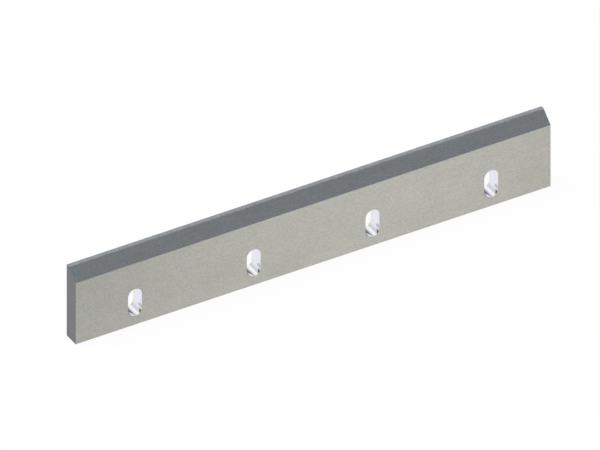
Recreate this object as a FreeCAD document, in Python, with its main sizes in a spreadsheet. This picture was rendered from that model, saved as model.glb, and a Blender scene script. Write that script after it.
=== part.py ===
import FreeCAD, Part
import math
import os

import Sketcher

# Rotor knife: one ground bar of tool steel with a row of adjustment slots.
# It stands on its back edge. X runs along the knife, Z runs from the back edge up to the
# cutting edge, and the flat face that carries the cutting edge is on the +Y side.
# The origin is the middle of the back edge, at half the thickness. Sizes are millimetres.

NODE = "rotor_knife"

# Driving sizes: alias, value, what it is
SIZES = [
    ("knife_length", 600.0, "from end to end"),
    ("knife_height", 95.0, "from the back edge to the cutting edge"),
    ("knife_thickness", 20.0, "between the two ground faces"),
    ("land_width", 5.0, "narrow strip behind the cutting edge, measured across the thickness"),
    ("clearance_angle", 5.0, "degrees by which the land falls away behind the cutting edge"),
    ("bevel_angle", 40.0, "degrees by which the bevel falls away from the land to the front face"),
    ("slot_width", 17.5, "the usual clearance of a 16 mm screw"),
    ("slot_length", 36.0, "from round end to round end"),
    ("slot_back_wall", 11.5, "steel left between a slot and the back edge"),
    ("slot_pitch", 150.0, "from slot to slot"),
    ("slot_chamfer", 0.2, "at the mouths of the slots"),
    ("edge_break", 0.2, "on the edges that don't cut"),
]

# The row has as many slots as leave a slot's length of steel beyond each end slot's middle,
# and it is set about the middle of the knife
SLOT_COUNT = "floor((sizes.knife_length - 2 * sizes.slot_length) / sizes.slot_pitch) + 1"
END_SLOT_X = f"sizes.slot_pitch * ({SLOT_COUNT} - 1) / 2"
LOW_CENTRE_Z = "sizes.slot_back_wall + sizes.slot_width / 2"

# Sketcher's numbers for the origin point and for the points of an edge
SKETCH_ORIGIN = (-1, 1)
START = 1
END = 2
CENTRE = 3

# Two places closer than this are the same place
NEAR = 1e-4


def size_sheet(doc):
    sheet = doc.addObject("Spreadsheet::Sheet", "sizes")
    for row, (alias, value, note) in enumerate(SIZES, start=1):
        sheet.set(f"A{row}", note)
        sheet.set(f"B{row}", str(value))
        sheet.setAlias(f"B{row}", alias)
    doc.recompute()
    return sheet


def origin_feature(body, role):
    return next(f for f in body.Origin.OriginFeatures if f.Role == role)


def new_sketch(body, name, role):
    sketch = body.newObject("Sketcher::SketchObject", name)
    sketch.AttachmentSupport = (origin_feature(body, role), [""])
    sketch.MapMode = "FlatFace"
    return sketch


def join_ends(sketch, kind, edges):
    """Each edge runs on into the next, and the last into the first."""
    for one, following in zip(edges, edges[1:] + edges[:1]):
        sketch.addConstraint(Sketcher.Constraint(kind, one, END, following, START))


def bind(sketch, name, constraint, expression):
    """A dimension of the sketch that takes its value from the sheet."""
    sketch.renameConstraint(sketch.addConstraint(constraint), name)
    sketch.setExpression(f"Constraints.{name}", expression)


def section_sketch(body, sheet):
    """The ground section across the knife, where the sketch's x is Y and its y is Z."""
    back = sheet.knife_thickness / 2
    front = -back
    top = sheet.knife_height
    clearance = math.radians(sheet.clearance_angle)
    slope = math.radians(sheet.bevel_angle)
    land = back - sheet.land_width
    heel = top - sheet.land_width * math.tan(clearance)
    foot = heel - (land - front) * math.tan(slope)
    outline = [(front, 0), (back, 0), (back, top), (land, heel), (front, foot)]
    corners = [FreeCAD.Vector(y, z, 0) for y, z in outline]

    sketch = new_sketch(body, "section", "YZ_Plane")
    lines = [Part.LineSegment(a, b) for a, b in zip(corners, corners[1:] + corners[:1])]
    edges = list(sketch.addGeometry(lines, False))
    back_edge, back_face, land_line, bevel, front_face = edges
    join_ends(sketch, "Coincident", edges)
    sketch.addConstraint(Sketcher.Constraint("Symmetric", back_edge, START, back_edge, END, *SKETCH_ORIGIN))
    sketch.addConstraint(Sketcher.Constraint("Horizontal", back_edge))
    for upright in (back_face, front_face):
        sketch.addConstraint(Sketcher.Constraint("Vertical", upright))

    across = Sketcher.Constraint("Distance", back_edge, sheet.knife_thickness)
    height = Sketcher.Constraint("Distance", back_face, sheet.knife_height)
    width = Sketcher.Constraint("DistanceX", land_line, END, land_line, START, sheet.land_width)
    edge = Sketcher.Constraint("Angle", land_line, START, back_face, END, math.pi / 2 - clearance)
    shoulder = Sketcher.Constraint("Angle", front_face, START, bevel, END, math.pi / 2 + slope)
    bind(sketch, "thickness", across, "sizes.knife_thickness")
    bind(sketch, "height", height, "sizes.knife_height")
    bind(sketch, "land", width, "sizes.land_width")
    bind(sketch, "edge", edge, "90 - sizes.clearance_angle")
    bind(sketch, "shoulder", shoulder, "90 + sizes.bevel_angle")
    return sketch


def bar(body, section):
    """The ground bar, padded both ways from the middle of the knife."""
    pad = body.newObject("PartDesign::Pad", "bar")
    pad.Profile = section
    pad.SideType = "Symmetric"
    pad.setExpression("Length", "sizes.knife_length")
    return pad


def slot_sketch(body, sheet):
    """The first slot, where the sketch's x is X and its y is Z: two round ends joined by straight sides."""
    radius = sheet.slot_width / 2
    straight = sheet.slot_length - sheet.slot_width
    low = sheet.slot_back_wall + radius
    high = low + straight
    middle = -sheet.slot_pitch
    left = middle - radius
    right = middle + radius
    axis = FreeCAD.Vector(0, 0, 1)

    sketch = new_sketch(body, "slot", "XZ_Plane")
    top_circle = Part.Circle(FreeCAD.Vector(middle, high, 0), axis, radius)
    low_circle = Part.Circle(FreeCAD.Vector(middle, low, 0), axis, radius)
    outline = [
        Part.ArcOfCircle(top_circle, 0, math.pi),
        Part.LineSegment(FreeCAD.Vector(left, high, 0), FreeCAD.Vector(left, low, 0)),
        Part.ArcOfCircle(low_circle, math.pi, 2 * math.pi),
        Part.LineSegment(FreeCAD.Vector(right, low, 0), FreeCAD.Vector(right, high, 0)),
    ]
    edges = list(sketch.addGeometry(outline, False))
    top_end, left_side, low_end, right_side = edges
    join_ends(sketch, "Tangent", edges)
    sketch.addConstraint(Sketcher.Constraint("Vertical", left_side))
    sketch.addConstraint(Sketcher.Constraint("Equal", top_end, low_end))

    rounding = Sketcher.Constraint("Radius", low_end, radius)
    side = Sketcher.Constraint("Distance", left_side, straight)
    along = Sketcher.Constraint("DistanceX", low_end, CENTRE, *SKETCH_ORIGIN, -middle)
    above = Sketcher.Constraint("DistanceY", *SKETCH_ORIGIN, low_end, CENTRE, low)
    bind(sketch, "radius", rounding, "sizes.slot_width / 2")
    bind(sketch, "straight_side", side, "sizes.slot_length - sizes.slot_width")
    bind(sketch, "end_slot", along, END_SLOT_X)
    bind(sketch, "low_centre", above, LOW_CENTRE_Z)
    return sketch


def slot_cut(body, sketch):
    """One slot, cut through both faces from the middle of the thickness."""
    cut = body.newObject("PartDesign::Pocket", "slot_cut")
    cut.Profile = sketch
    cut.SideType = "Symmetric"
    cut.Type = "ThroughAll"
    return cut


def slot_row(body, cut):
    row = body.newObject("PartDesign::LinearPattern", "slot_row")
    row.Originals = [cut]
    row.Direction = (origin_feature(body, "X_Axis"), [""])
    row.Mode = "Spacing"
    row.setExpression("Offset", "sizes.slot_pitch")
    row.setExpression("Occurrences", SLOT_COUNT)
    body.Tip = row
    return row


def chamfer(body, name, base, edges, size):
    dressed = body.newObject("PartDesign::Chamfer", name)
    dressed.Base = (base, edges)
    dressed.setExpression("Size", size)
    body.Tip = dressed
    return dressed


def edge_names(shape, wanted):
    return [f"Edge{n}" for n, edge in enumerate(shape.Edges, start=1) if wanted(edge)]


def slot_mouth(edge, sheet):
    """True for an edge of a slot that lies in the front or the back face."""
    half = sheet.knife_thickness / 2
    box = edge.BoundBox
    in_face = box.YLength < NEAR and abs(abs(box.YMin) - half) < NEAR
    inside_ends = max(abs(box.XMin), abs(box.XMax)) < sheet.knife_length / 2 - NEAR
    return in_face and inside_ends


def blunt_edge(edge, sheet):
    """True for the long edges of the back edge and the upright edges of the two ends."""
    half = sheet.knife_length / 2
    box = edge.BoundBox
    at_back_edge = box.ZMax < NEAR and box.XLength > NEAR
    upright = box.ZLength > NEAR and box.YLength < NEAR
    at_end = box.XLength < NEAR and abs(abs(box.XMin) - half) < NEAR
    return at_back_edge or (upright and at_end)


def removed(before, after):
    return before.Shape.Volume - after.Shape.Volume


def check_slots(plain, slotted, sheet):
    """Stops the build unless every slot in the row was cut right through."""
    radius = sheet.slot_width / 2
    area = math.pi * radius**2 + sheet.slot_width * (sheet.slot_length - sheet.slot_width)
    through = slotted.Occurrences * area * sheet.knife_thickness
    if removed(plain, slotted) < through / 2:
        raise RuntimeError("the slots don't go through the bar")


def rotor_knife(doc, sheet):
    body = doc.addObject("PartDesign::Body", "knife_body")
    body.Label = NODE
    plain = bar(body, section_sketch(body, sheet))
    doc.recompute()
    slotted = slot_row(body, slot_cut(body, slot_sketch(body, sheet)))
    doc.recompute()
    check_slots(plain, slotted, sheet)
    mouths = edge_names(slotted.Shape, lambda edge: slot_mouth(edge, sheet))
    deburred = chamfer(body, "slot_mouths", slotted, mouths, "sizes.slot_chamfer")
    doc.recompute()
    blunt = edge_names(deburred.Shape, lambda edge: blunt_edge(edge, sheet))
    chamfer(body, "broken_edges", deburred, blunt, "sizes.edge_break")
    body.Placement = FreeCAD.Placement()
    return body


def check(doc, bodies):
    """Stops the build if anything in the document failed."""
    for item in doc.Objects:
        if {"Invalid", "Error"} & set(item.State):
            raise RuntimeError(f"{item.Name} failed: {item.State}")
    for body in bodies:
        if body.Shape.isNull() or not body.Shape.isValid() or len(body.Shape.Solids) != 1:
            raise RuntimeError(f"{body.Label} isn't one sound solid")


def write(bodies):
    os.makedirs("parts", exist_ok=True)
    for body in bodies:
        body.Shape.exportStep(f"parts/{body.Label}.step")
        box = body.Shape.BoundBox
        print(body.Label, "volume", round(body.Shape.Volume), "box", box)


def main():
    doc = FreeCAD.newDocument(NODE)
    bodies = [rotor_knife(doc, size_sheet(doc))]
    doc.recompute()
    check(doc, bodies)
    write(bodies)


main()
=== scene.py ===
import math
from collections import namedtuple

import bpy
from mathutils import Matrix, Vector


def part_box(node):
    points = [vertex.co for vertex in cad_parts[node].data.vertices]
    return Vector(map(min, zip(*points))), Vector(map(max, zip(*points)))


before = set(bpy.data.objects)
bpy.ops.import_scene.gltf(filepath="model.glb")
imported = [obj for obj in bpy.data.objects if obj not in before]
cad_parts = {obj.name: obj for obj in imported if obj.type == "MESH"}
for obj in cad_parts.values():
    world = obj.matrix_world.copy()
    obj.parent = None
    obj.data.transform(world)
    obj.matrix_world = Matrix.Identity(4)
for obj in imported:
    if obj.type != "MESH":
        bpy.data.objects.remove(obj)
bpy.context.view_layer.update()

# Looks of a rotor knife: one bar of ground tool steel that stands on its back edge.
# Everything is in metres, in the frame of the solid: X along the knife, Z up to the cutting
# edge, and the bevel on the -Y side.

KNIFE = "rotor_knife"
LOW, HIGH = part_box(KNIFE)

# Sizes of the knife that its finish follows
BEVEL_ANGLE = math.radians(40.0)
CLEARANCE_ANGLE = math.radians(5.0)
LAND_WIDTH = 0.005
SLOT_PITCH = 0.150
SLOT_RADIUS = 0.00875
SLOT_STRAIGHT = 0.0185
SLOT_BACK_WALL = 0.0115
SLOT_MIDDLE = LOW.z + SLOT_BACK_WALL + SLOT_RADIUS + SLOT_STRAIGHT / 2
CHAMFER = 0.0002

# Heel behind the land, and the foot that the bevel runs down to
LAND_Y = HIGH.y - LAND_WIDTH
HEEL_Z = HIGH.z - LAND_WIDTH * math.tan(CLEARANCE_ANGLE)
FOOT_Z = HEEL_Z - (LAND_Y - LOW.y) * math.tan(BEVEL_ANGLE)

# A side of the knife's section: y and z of the long edge that it starts from, and the way it looks
Side = namedtuple("Side", "y z way")
SIDES = {
    "land": Side(HIGH.y, HIGH.z, (0.0, -math.sin(CLEARANCE_ANGLE), math.cos(CLEARANCE_ANGLE))),
    "bevel": Side(LAND_Y, HEEL_Z, (0.0, -math.sin(BEVEL_ANGLE), math.cos(BEVEL_ANGLE))),
    "front": Side(LOW.y, FOOT_Z, (0.0, -1.0, 0.0)),
    "back edge": Side(LOW.y, LOW.z, (0.0, 0.0, -1.0)),
    "back": Side(HIGH.y, LOW.z, (0.0, 1.0, 0.0)),
}

# A surface belongs to a side if the cosine of the angle between their ways is over this
SIDE_COSINE = 0.98

# An end reaches half over its edge breaks, and a slot's wall stops just short of those at its mouths
END_X = HIGH.x - CHAMFER / 2
MOUTH_Y = HIGH.y - CHAMFER * 1.05

# A slot's wall is what lies nearer than this to the slot's outline
WALL_REACH = CHAMFER / 4

# Steel of a face, its roughness, and how much lighter or darker than the steel its grain may be
FinishAndPaintedLight = namedtuple("FinishAndPaintedLight", "steel roughness grain")
FLAT = FinishAndPaintedLight((0.504, 0.500, 0.456), 0.42, 0.132)
# The faces below carry painted light, shade and reflection in their steel: the bevel darker and bluer,
# the land lighter and bluer, the end dark with painted shade, and the slots' walls pale lavender from a
# painted reflection
FINISHES_AND_PAINTED_LIGHT = {
    "bevel": FinishAndPaintedLight((0.430, 0.470, 0.513), 0.36, 0.204),
    "land": FinishAndPaintedLight((0.584, 0.622, 0.671), 0.58, 0.228),
    "end": FinishAndPaintedLight((0.208, 0.206, 0.221), 0.50, 0.432),
    "slot": FinishAndPaintedLight((0.787, 0.799, 0.886), 0.05, 0.0),
}

# Painted light and shade on the flat faces: their steel is lightest at the X below, and painted darker
# from the first reach to the second one away from it
PAINTED_SHADE_STEEL = (0.404, 0.399, 0.373)
PAINTED_LIGHT_X = 0.06
PAINTED_LIGHT_REACH = 0.095
PAINTED_SHADE_REACH = 0.46

# The slots' walls lose their painted lavender reflection tint and turn plain towards their mouths, from
# MOUTH_START to MOUTH_END off the middle
MOUTH_STEEL = (0.780, 0.785, 0.788)
MOUTH_START = 0.004
MOUTH_END = 0.009

# A mark is noise: its changes in a metre along X, Y and Z, and its values at no mark and at a full one
Mark = namedtuple("Mark", "fineness detail roughness none full")

# Marks of the satin finish, and the closer grain of the bevel
SATIN_MARKS = {
    "Grain": Mark((340.0, 880.0, 880.0), 3.0, 0.5, 0.2, 0.8),
    "Clouds": Mark((35.0, 35.0, 35.0), 1.0, 0.5, 0.2, 0.8),
    "Tint": Mark((60.0, 110.0, 110.0), 1.0, 0.5, 0.2, 0.8),
}
BEVEL_GRAIN = (340.0, 1600.0, 1600.0)

# Marks of the grinding wheel, which run along the knife, and the way they run through the slots
WHEEL_MARKS = {
    "Lines": Mark((60.0, 5000.0, 5000.0), 3.0, 0.6, 0.25, 0.75),
    "Bands": Mark((6.0, 160.0, 160.0), 2.0, 0.5, 0.3, 0.7),
}
SLOT_LINES = (900.0, 40.0, 900.0)
SLOT_BANDS = (160.0, 6.0, 160.0)

# How much lighter or darker, or rougher or smoother, the marks leave the steel, and its tints
MARK_DEPTHS = {"clouds": 0.015, "lines": 0.07, "bands": 0.01}
LINE_ROUGHNESS = 0.015
WARM_TINT = (1.021, 1.000, 0.970)
COOL_TINT = (0.979, 1.000, 1.030)

# Bump of the steel: its depth and strength, and the share of the lines, the grain and the slots' walls
RELIEF_DEPTH = 0.00002
RELIEF_STRENGTH = 0.25
LINE_RELIEF = 0.6
GRAIN_RELIEF = 0.4
SLOT_RELIEF = 0.05

# Bright wear with a painted highlight: its reach from the long edges and ends and from the slots'
# mouths, and its shine
EDGE_WEAR_AND_HIGHLIGHT = 0.0007
SLOT_WEAR_AND_HIGHLIGHT = 0.0005
WEAR_AND_HIGHLIGHT_SHINE = 1.06

# Chips break up the wear and painted highlight, and leave at least this share of its reach
CHIPS = Mark((260.0, 260.0, 260.0), 3.0, 0.5, 0.3, 0.7)
CHIPPED_REACH = 0.3

# Floor of white paper just under the knife, and how much of it is plain white to the camera and mirrors
WHITE = (1.0, 1.0, 1.0)
PAPER = (0.80, 0.80, 0.80)
WHITE_SHARE = 0.93
FLOOR_HALF = 30.0
FLOOR_DROP = 0.0002

# Colours of the studio round the knife
SKY = (1.08, 1.06, 1.02)
BRIGHT_SKY = (1.20, 1.18, 1.15)
PALE_WALL = (0.80, 0.80, 0.76)
DIM_WALL = (0.193, 0.193, 0.188)

# Where the studio's colours meet, by how far a way out leans along X, or up Z for the wall's top
SKY_TURN = (-0.35, -0.10)
WALL_TOP = (0.50, 0.62)
DIM_TURN = (-0.08, 0.50)

# Soft lamps: place, aim and size in metres, and power in watts
LAMPS = {
    "overhead": {"place": (-0.9, 0.6, 2.0), "aim": (0.0, 0.0, 0.05), "size": 1.6, "watts": 20.0},
    "front": {"place": (0.15, -0.8, 0.9), "aim": (0.1, -0.1, 0.0), "size": 0.6, "watts": 6.0},
}

# The photograph's view: a parallel one, from the front left and above
VIEW_AZIMUTH = math.radians(-30.0)
VIEW_ELEVATION = math.asin(1.0 / math.sqrt(3.0))
PHOTO_WIDTH = 600
PIXELS_PER_METRE = 914.0

# Middle of the picture, to the right of the origin and above it, and how far off the camera stands
FRAME_RIGHT = -0.00944
FRAME_UP = 0.03911
CAMERA_DISTANCE = 3.0
CAMERA_REACH = 100.0

# Kinds of socket that a node group takes and gives
FLOAT = "NodeSocketFloat"
VECTOR = "NodeSocketVector"

# Last word in the names of a mix node's sockets, for each type of data that it mixes
MIXED = {"FLOAT": "Float", "RGBA": "Color"}


class Graph:
    """Adds nodes to a tree and wires them: an input is given as a value or as another node's socket."""

    def __init__(self, tree):
        self.tree = tree

    def add(self, kind, inputs=(), **settings):
        """A new node with the given settings, and its inputs fed by name, or in their order."""
        node = self.tree.nodes.new(kind)
        for name, value in settings.items():
            setattr(node, name, value)
        pairs = inputs.items() if isinstance(inputs, dict) else enumerate(inputs)
        for key, value in pairs:
            self.feed(node.inputs[key], value)
        return node

    def feed(self, socket, value):
        """Links a socket to another one, or sets its value. A colour may come without its alpha."""
        if isinstance(value, bpy.types.NodeSocket):
            self.tree.links.new(value, socket)
        elif socket.type == "RGBA" and len(value) == 3:
            socket.default_value = (*value, 1.0)
        else:
            socket.default_value = value

    def math(self, operation, *values):
        """The number that an operation gives for one or more numbers."""
        return self.add("ShaderNodeMath", values, operation=operation).outputs["Value"]

    def vector(self, operation, *values):
        """The vector that an operation gives for vectors, or the number of a dot product or a length."""
        node = self.add("ShaderNodeVectorMath", values, operation=operation)
        return node.outputs["Value" if operation in ("DOT_PRODUCT", "LENGTH") else "Vector"]

    def scaled(self, vector, factor):
        """A vector or a colour times a number."""
        inputs = {"Vector": vector, "Scale": factor}
        return self.add("ShaderNodeVectorMath", inputs, operation="SCALE").outputs["Vector"]

    def split(self, vector):
        """The "X", "Y" and "Z" of a vector."""
        return self.add("ShaderNodeSeparateXYZ", {"Vector": vector}).outputs

    def least(self, values):
        """The smallest of several numbers."""
        smallest = values[0]
        for value in values[1:]:
            smallest = self.math("MINIMUM", smallest, value)
        return smallest

    def ramp(self, value, start, end, low=0.0, high=1.0):
        """low below start, high beyond end, and smooth between them."""
        inputs = {"Value": value, "From Min": start, "From Max": end, "To Min": low, "To Max": high}
        return self.add("ShaderNodeMapRange", inputs, interpolation_type="SMOOTHSTEP").outputs["Result"]

    def mark(self, place, fineness, kind, low=0.0, high=1.0):
        """A mark of a kind over a place: low where there is none, and high where it is full."""
        fine_place = self.vector("MULTIPLY", place, fineness)
        inputs = {"Vector": fine_place, "Scale": 1.0, "Detail": kind.detail, "Roughness": kind.roughness}
        noise = self.add("ShaderNodeTexNoise", inputs).outputs["Fac"]
        return self.ramp(noise, kind.none, kind.full, low, high)

    def mix(self, data, share, below, above):
        """What is below, covered by what is above where share is 1."""
        node = self.add("ShaderNodeMix", data_type=data)
        sockets = {socket.identifier: socket for socket in (*node.inputs, *node.outputs)}
        self.feed(sockets["Factor_Float"], share)
        self.feed(sockets[f"A_{MIXED[data]}"], below)
        self.feed(sockets[f"B_{MIXED[data]}"], above)
        return sockets[f"Result_{MIXED[data]}"]

    def mix_colours(self, share, below, above):
        """The colour below, covered by the colour above where share is 1."""
        return self.mix("RGBA", share, below, above)

    def mix_numbers(self, share, below, above):
        """The number below, covered by the number above where share is 1."""
        return self.mix("FLOAT", share, below, above)

    def group(self, tree, **inputs):
        """What a placed node group gives, where an input's name has _ for each space of the socket's."""
        node = self.add("ShaderNodeGroup", node_tree=tree)
        for name, value in inputs.items():
            self.feed(node.inputs[name.replace("_", " ")], value)
        return node.outputs


def new_group(name, inputs, outputs):
    """An empty node group with named sockets, given as name: (kind, default) and as name: kind."""
    tree = bpy.data.node_groups.new(name, "ShaderNodeTree")
    for socket, (kind, default) in inputs.items():
        made = tree.interface.new_socket(socket, in_out="INPUT", socket_type=kind)
        if default is not None:
            made.default_value = default
    for socket, kind in outputs.items():
        tree.interface.new_socket(socket, in_out="OUTPUT", socket_type=kind)
    graph = Graph(tree)
    return graph, graph.add("NodeGroupInput").outputs, graph.add("NodeGroupOutput").inputs


def marks_group(name, marks):
    """Several marks over Place, from 0 to 1, each with a fineness that a face may have of its own."""
    inputs = {f"{title} Fineness": (VECTOR, kind.fineness) for title, kind in marks.items()}
    outputs = {title: FLOAT for title in marks}
    graph, given, out = new_group(name, {"Place": (VECTOR, None), **inputs}, outputs)
    for title, kind in marks.items():
        graph.feed(out[title], graph.mark(given["Place"], given[f"{title} Fineness"], kind))
    return graph.tree


def facing_group():
    """1 where the surface looks a given way, and 0 elsewhere."""
    inputs = {"Normal": (VECTOR, None), "Way": (VECTOR, None), "Cosine": (FLOAT, SIDE_COSINE)}
    graph, given, out = new_group("facing", inputs, {"Share": FLOAT})
    along = graph.vector("DOT_PRODUCT", given["Normal"], given["Way"])
    graph.feed(out["Share"], graph.math("GREATER_THAN", along, given["Cosine"]))
    return graph.tree


def edge_wear_and_highlight_group():
    """How far an edge has been rubbed bright and given a painted highlight, from its distance: broken
    up, and gone beyond Width.
    """
    inputs = {"Place": (VECTOR, None), "Distance": (FLOAT, None), "Width": (FLOAT, EDGE_WEAR_AND_HIGHLIGHT)}
    graph, given, out = new_group("edge_wear_and_highlight", inputs, {"Wear And Highlight": FLOAT})
    unchipped = graph.mark(given["Place"], CHIPS.fineness, CHIPS, CHIPPED_REACH, 1.0)
    reach = graph.math("MULTIPLY", given["Width"], unchipped)
    share = graph.math("DIVIDE", given["Distance"], reach)
    graph.feed(out["Wear And Highlight"], graph.ramp(share, 0.0, 1.0, 1.0, 0.0))
    return graph.tree


def slot_outline_group():
    """Distance from the outline of the nearest slot: 0 on its wall, and more out on the faces."""
    inputs = {
        "Place": (VECTOR, None),
        "Pitch": (FLOAT, SLOT_PITCH),
        "Radius": (FLOAT, SLOT_RADIUS),
        "Straight": (FLOAT, SLOT_STRAIGHT),
        "Middle": (FLOAT, SLOT_MIDDLE),
    }
    graph, given, out = new_group("slot_outline", inputs, {"Distance": FLOAT})
    at = graph.split(given["Place"])
    half_pitch = graph.math("DIVIDE", given["Pitch"], 2.0)
    aside = graph.math("SUBTRACT", graph.math("FLOORED_MODULO", at["X"], given["Pitch"]), half_pitch)
    height = graph.math("ABSOLUTE", graph.math("SUBTRACT", at["Z"], given["Middle"]))
    beyond = graph.math("SUBTRACT", height, graph.math("DIVIDE", given["Straight"], 2.0))
    past_straight = graph.math("MAXIMUM", beyond, 0.0)
    offset = graph.add("ShaderNodeCombineXYZ", {"X": aside, "Y": 0.0, "Z": past_straight})
    reach = graph.vector("LENGTH", offset.outputs["Vector"])
    graph.feed(out["Distance"], graph.math("SUBTRACT", reach, given["Radius"]))
    return graph.tree


def long_edge_distance(graph, at):
    """Distance from the nearest edge that runs along the whole knife."""
    across = graph.vector("MULTIPLY", at, (0.0, 1.0, 1.0))
    away = []
    for side in SIDES.values():
        offset = graph.vector("SUBTRACT", across, (0.0, side.y, side.z))
        away.append(graph.vector("LENGTH", offset))
    return graph.least(away)


def depth_in_section(graph, at):
    """How far inside the section's outline a place on an end face lies, and 0 on the long faces."""
    depths = []
    for side in SIDES.values():
        offset = graph.vector("SUBTRACT", at, (0.0, side.y, side.z))
        depths.append(graph.math("MULTIPLY", graph.vector("DOT_PRODUCT", offset, side.way), -1.0))
    return graph.least(depths)


def worn_and_highlit_edges(graph, at, slot_distance):
    """1 on the edges of the knife, the ends and the slot mouths, which are rubbed bright and carry a
    painted highlight, and 0 out on its faces.
    """
    wear_and_highlight = edge_wear_and_highlight_group()
    from_end = graph.math("SUBTRACT", HIGH.x, graph.math("ABSOLUTE", graph.split(at)["X"]))
    end_edge = graph.math("MAXIMUM", from_end, depth_in_section(graph, at))
    nearest = graph.math("MINIMUM", end_edge, long_edge_distance(graph, at))
    worn_and_highlit = graph.group(wear_and_highlight, Place=at, Distance=nearest, Width=EDGE_WEAR_AND_HIGHLIGHT)["Wear And Highlight"]
    rim = graph.group(wear_and_highlight, Place=at, Distance=slot_distance, Width=SLOT_WEAR_AND_HIGHLIGHT)["Wear And Highlight"]
    return graph.math("MAXIMUM", worn_and_highlit, rim)


def face_masks(graph, at, normal, slot_distance):
    """For each face that is ground and coloured in a way of its own, with painted light or shade in its
    steel, 1 on it and 0 elsewhere.
    """
    facing = facing_group()
    from_middle = graph.split(graph.vector("ABSOLUTE", at))
    at_wall = graph.math("LESS_THAN", slot_distance, WALL_REACH)
    inside = graph.math("LESS_THAN", from_middle["Y"], MOUTH_Y)
    return {
        "bevel": graph.group(facing, Normal=normal, Way=SIDES["bevel"].way)["Share"],
        "land": graph.group(facing, Normal=normal, Way=SIDES["land"].way)["Share"],
        "end": graph.math("GREATER_THAN", from_middle["X"], END_X),
        "slot": graph.math("MULTIPLY", at_wall, inside),
    }


def steel_marks(graph, at, masks):
    """The steel's grain, finer on the bevel, and the wheel's marks, which run through the slots."""
    satin = marks_group("steel_grain", SATIN_MARKS)
    flat = graph.group(satin, Place=at)
    close = graph.group(satin, Place=at, Grain_Fineness=BEVEL_GRAIN)
    wheel = marks_group("grind_lines", WHEEL_MARKS)
    along = graph.group(wheel, Place=at)
    through = graph.group(wheel, Place=at, Lines_Fineness=SLOT_LINES, Bands_Fineness=SLOT_BANDS)
    return {
        "grain": graph.mix_numbers(masks["bevel"], flat["Grain"], close["Grain"]),
        "clouds": flat["Clouds"],
        "tint": flat["Tint"],
        "lines": graph.mix_numbers(masks["slot"], along["Lines"], through["Lines"]),
        "bands": graph.mix_numbers(masks["slot"], along["Bands"], through["Bands"]),
    }


def plain_colour(graph, at, masks, slot_distance):
    """The colour of each face before the marks on it, with painted light and shade along the flat faces
    and in each face's steel, a painted reflection tint in the slots' walls, and its edges rubbed
    brighter with a painted highlight.
    """
    place = graph.split(at)
    # Painted light and shade: the flat faces' steel is lightest near one place along X, and painted
    # darker towards the ends
    from_painted_light = graph.math("ABSOLUTE", graph.math("SUBTRACT", place["X"], PAINTED_LIGHT_X))
    colour = graph.mix_colours(graph.ramp(from_painted_light, PAINTED_LIGHT_REACH, PAINTED_SHADE_REACH), FLAT.steel, PAINTED_SHADE_STEEL)
    # Painted light and shade: each face below takes its own lighter or darker painted copy of the steel
    for face, finish_and_painted_light in FINISHES_AND_PAINTED_LIGHT.items():
        colour = graph.mix_colours(masks[face], colour, finish_and_painted_light.steel)
    # Painted reflection: the slots' walls lose their lavender tint and turn plain steel near their
    # mouths
    near_mouth = graph.ramp(graph.math("ABSOLUTE", place["Y"]), MOUTH_START, MOUTH_END)
    colour = graph.mix_colours(graph.math("MULTIPLY", near_mouth, masks["slot"]), colour, MOUTH_STEEL)
    # Rubbed wear and a painted highlight brighten the edges, but not the slots' walls
    outside = graph.math("SUBTRACT", 1.0, masks["slot"])
    worn_and_highlit = graph.math("MULTIPLY", worn_and_highlit_edges(graph, at, slot_distance), outside)
    return graph.scaled(colour, graph.mix_numbers(worn_and_highlit, 1.0, WEAR_AND_HIGHLIGHT_SHINE))


def marked_colour(graph, colour, masks, marks):
    """The colour under its tint and, away from the slots' walls, its grain, clouds and grind lines."""
    reach = FLAT.grain
    for face, finish_and_painted_light in FINISHES_AND_PAINTED_LIGHT.items():
        reach = graph.mix_numbers(masks[face], reach, finish_and_painted_light.grain)
    half_swing = graph.math("MULTIPLY", graph.math("SUBTRACT", marks["grain"], 0.5), reach)
    tone = graph.math("ADD", 1.0, graph.math("MULTIPLY", half_swing, 2.0))
    for mark, depth in MARK_DEPTHS.items():
        tone = graph.math("MULTIPLY", tone, graph.ramp(marks[mark], 0.0, 1.0, 1.0 - depth, 1.0 + depth))
    tone = graph.mix_numbers(masks["slot"], tone, 1.0)
    tinted = graph.vector("MULTIPLY", colour, graph.mix_colours(marks["tint"], WARM_TINT, COOL_TINT))
    return graph.scaled(tinted, tone)


def face_roughness(graph, masks, marks):
    """The roughness of each face, a little more or less with its grind lines."""
    roughness = FLAT.roughness
    for face, finish_and_painted_light in FINISHES_AND_PAINTED_LIGHT.items():
        roughness = graph.mix_numbers(masks[face], roughness, finish_and_painted_light.roughness)
    change = graph.ramp(marks["lines"], 0.0, 1.0, -LINE_ROUGHNESS, LINE_ROUGHNESS)
    return graph.math("ADD", roughness, change)


def ground_relief(graph, masks, marks):
    """Height of the grind lines and the grain, nearly smooth on the slots' walls."""
    lines = graph.math("MULTIPLY", marks["lines"], LINE_RELIEF)
    grain = graph.math("MULTIPLY", marks["grain"], GRAIN_RELIEF)
    share = graph.mix_numbers(masks["slot"], 1.0, SLOT_RELIEF)
    return graph.math("MULTIPLY", graph.math("ADD", lines, grain), share)


def cleared_graph(owner):
    """The graph of a new material or world, without the nodes that it starts with."""
    owner.use_nodes = True
    owner.node_tree.nodes.clear()
    return Graph(owner.node_tree)


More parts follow.
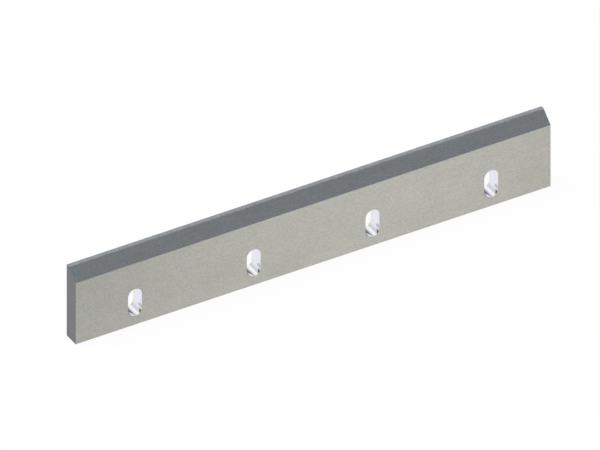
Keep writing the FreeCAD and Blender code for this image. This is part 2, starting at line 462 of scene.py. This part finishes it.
def knife_steel():
    """Ground tool steel that changes from face to face, as the wheel crossed each of them, with light,
    shade and reflections painted into each face's colour.
    """
    material = bpy.data.materials.new("ground_tool_steel")
    graph = cleared_graph(material)
    place = graph.add("ShaderNodeTexCoord").outputs
    at = place["Object"]
    slot_distance = graph.group(slot_outline_group(), Place=at)["Distance"]
    masks = face_masks(graph, at, place["Normal"], slot_distance)
    marks = steel_marks(graph, at, masks)
    colour = plain_colour(graph, at, masks, slot_distance)
    height = ground_relief(graph, masks, marks)
    relief = {"Height": height, "Strength": RELIEF_STRENGTH, "Distance": RELIEF_DEPTH}
    finish_and_painted_light = {
        "Base Color": marked_colour(graph, colour, masks, marks),
        "Roughness": face_roughness(graph, masks, marks),
        "Normal": graph.add("ShaderNodeBump", relief).outputs["Normal"],
        "Metallic": 1.0,
    }
    steel = graph.add("ShaderNodeBsdfPrincipled", finish_and_painted_light)
    graph.add("ShaderNodeOutputMaterial", {"Surface": steel.outputs["BSDF"]})
    return material


def floor_paper():
    """Plain white paper: the camera and mirrors see it white, and it keeps the knife's soft shadow."""
    material = bpy.data.materials.new("floor_paper")
    graph = cleared_graph(material)
    paths = graph.add("ShaderNodeLightPath").outputs
    seen = graph.math("MAXIMUM", paths["Is Camera Ray"], paths["Is Glossy Ray"])
    seen = graph.math("MAXIMUM", seen, paths["Is Transmission Ray"])
    paper = graph.add("ShaderNodeBsdfDiffuse", {"Color": PAPER})
    white = graph.add("ShaderNodeEmission", {"Color": WHITE, "Strength": 1.0})
    share = graph.math("MULTIPLY", seen, WHITE_SHARE)
    mixed = graph.add("ShaderNodeMixShader", (share, paper.outputs["BSDF"], white.outputs["Emission"]))
    graph.add("ShaderNodeOutputMaterial", {"Surface": mixed.outputs["Shader"]})
    return material


def floor():
    """A wide square of paper just under the knife."""
    half = FLOOR_HALF
    mesh = bpy.data.meshes.new("floor")
    corners = [(-half, -half, 0.0), (half, -half, 0.0), (half, half, 0.0), (-half, half, 0.0)]
    mesh.from_pydata(corners, [], [(0, 1, 2, 3)])
    mesh.materials.append(floor_paper())
    plane = bpy.data.objects.new("floor", mesh)
    plane.location.z = LOW.z - FLOOR_DROP
    bpy.context.scene.collection.objects.link(plane)


def studio_world():
    """A plain studio: pale on the left under a bright sky, dim on the right, and white from below."""
    world = bpy.data.worlds.new("studio")
    graph = cleared_graph(world)
    out = graph.split(graph.add("ShaderNodeTexCoord").outputs["Generated"])
    sky = graph.mix_colours(graph.ramp(out["X"], *SKY_TURN), BRIGHT_SKY, SKY)
    pale = graph.mix_colours(graph.ramp(out["Z"], *WALL_TOP), PALE_WALL, sky)
    walls = graph.mix_colours(graph.ramp(out["X"], *DIM_TURN), pale, DIM_WALL)
    colour = graph.mix_colours(graph.math("LESS_THAN", out["Z"], 0.0), walls, WHITE)
    light = graph.add("ShaderNodeBackground", {"Color": colour, "Strength": 1.0})
    graph.add("ShaderNodeOutputWorld", {"Surface": light.outputs["Background"]})
    bpy.context.scene.world = world


def set_up(name, data, place, way):
    """Puts a lamp or a camera in the studio, at a place and turned a given way."""
    holder = bpy.data.objects.new(name, data)
    holder.location = place
    holder.rotation_mode = "QUATERNION"
    holder.rotation_quaternion = way.to_track_quat("-Z", "Y")
    bpy.context.scene.collection.objects.link(holder)
    return holder


def lamp(name, place, aim, size, watts):
    """A soft lamp that lights the paper and casts the knife's shadow. The steel doesn't mirror it."""
    data = bpy.data.lights.new(name, "AREA")
    data.shape = "DISK"
    data.size = size
    data.energy = watts
    holder = set_up(name, data, place, Vector(aim) - Vector(place))
    holder.visible_glossy = False


def camera():
    """A parallel view that puts the knife where the photograph has it."""
    turn, rise = VIEW_AZIMUTH, VIEW_ELEVATION
    back = Vector((math.sin(turn) * math.cos(rise), -math.cos(turn) * math.cos(rise), math.sin(rise)))
    right = Vector((math.cos(turn), math.sin(turn), 0.0))
    up = back.cross(right)
    target = right * FRAME_RIGHT + up * FRAME_UP
    data = bpy.data.cameras.new("view")
    data.type = "ORTHO"
    data.ortho_scale = PHOTO_WIDTH / PIXELS_PER_METRE
    data.clip_end = CAMERA_REACH
    bpy.context.scene.camera = set_up("view", data, target + back * CAMERA_DISTANCE, -back)


def dress_knife():
    """Gives the solid its steel."""
    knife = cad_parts[KNIFE]
    steel = knife_steel()
    for slot in knife.material_slots:
        slot.material = steel


bpy.context.scene.view_settings.view_transform = "Standard"
dress_knife()
floor()
studio_world()
for name, settings in LAMPS.items():
    lamp(name, **settings)
camera()
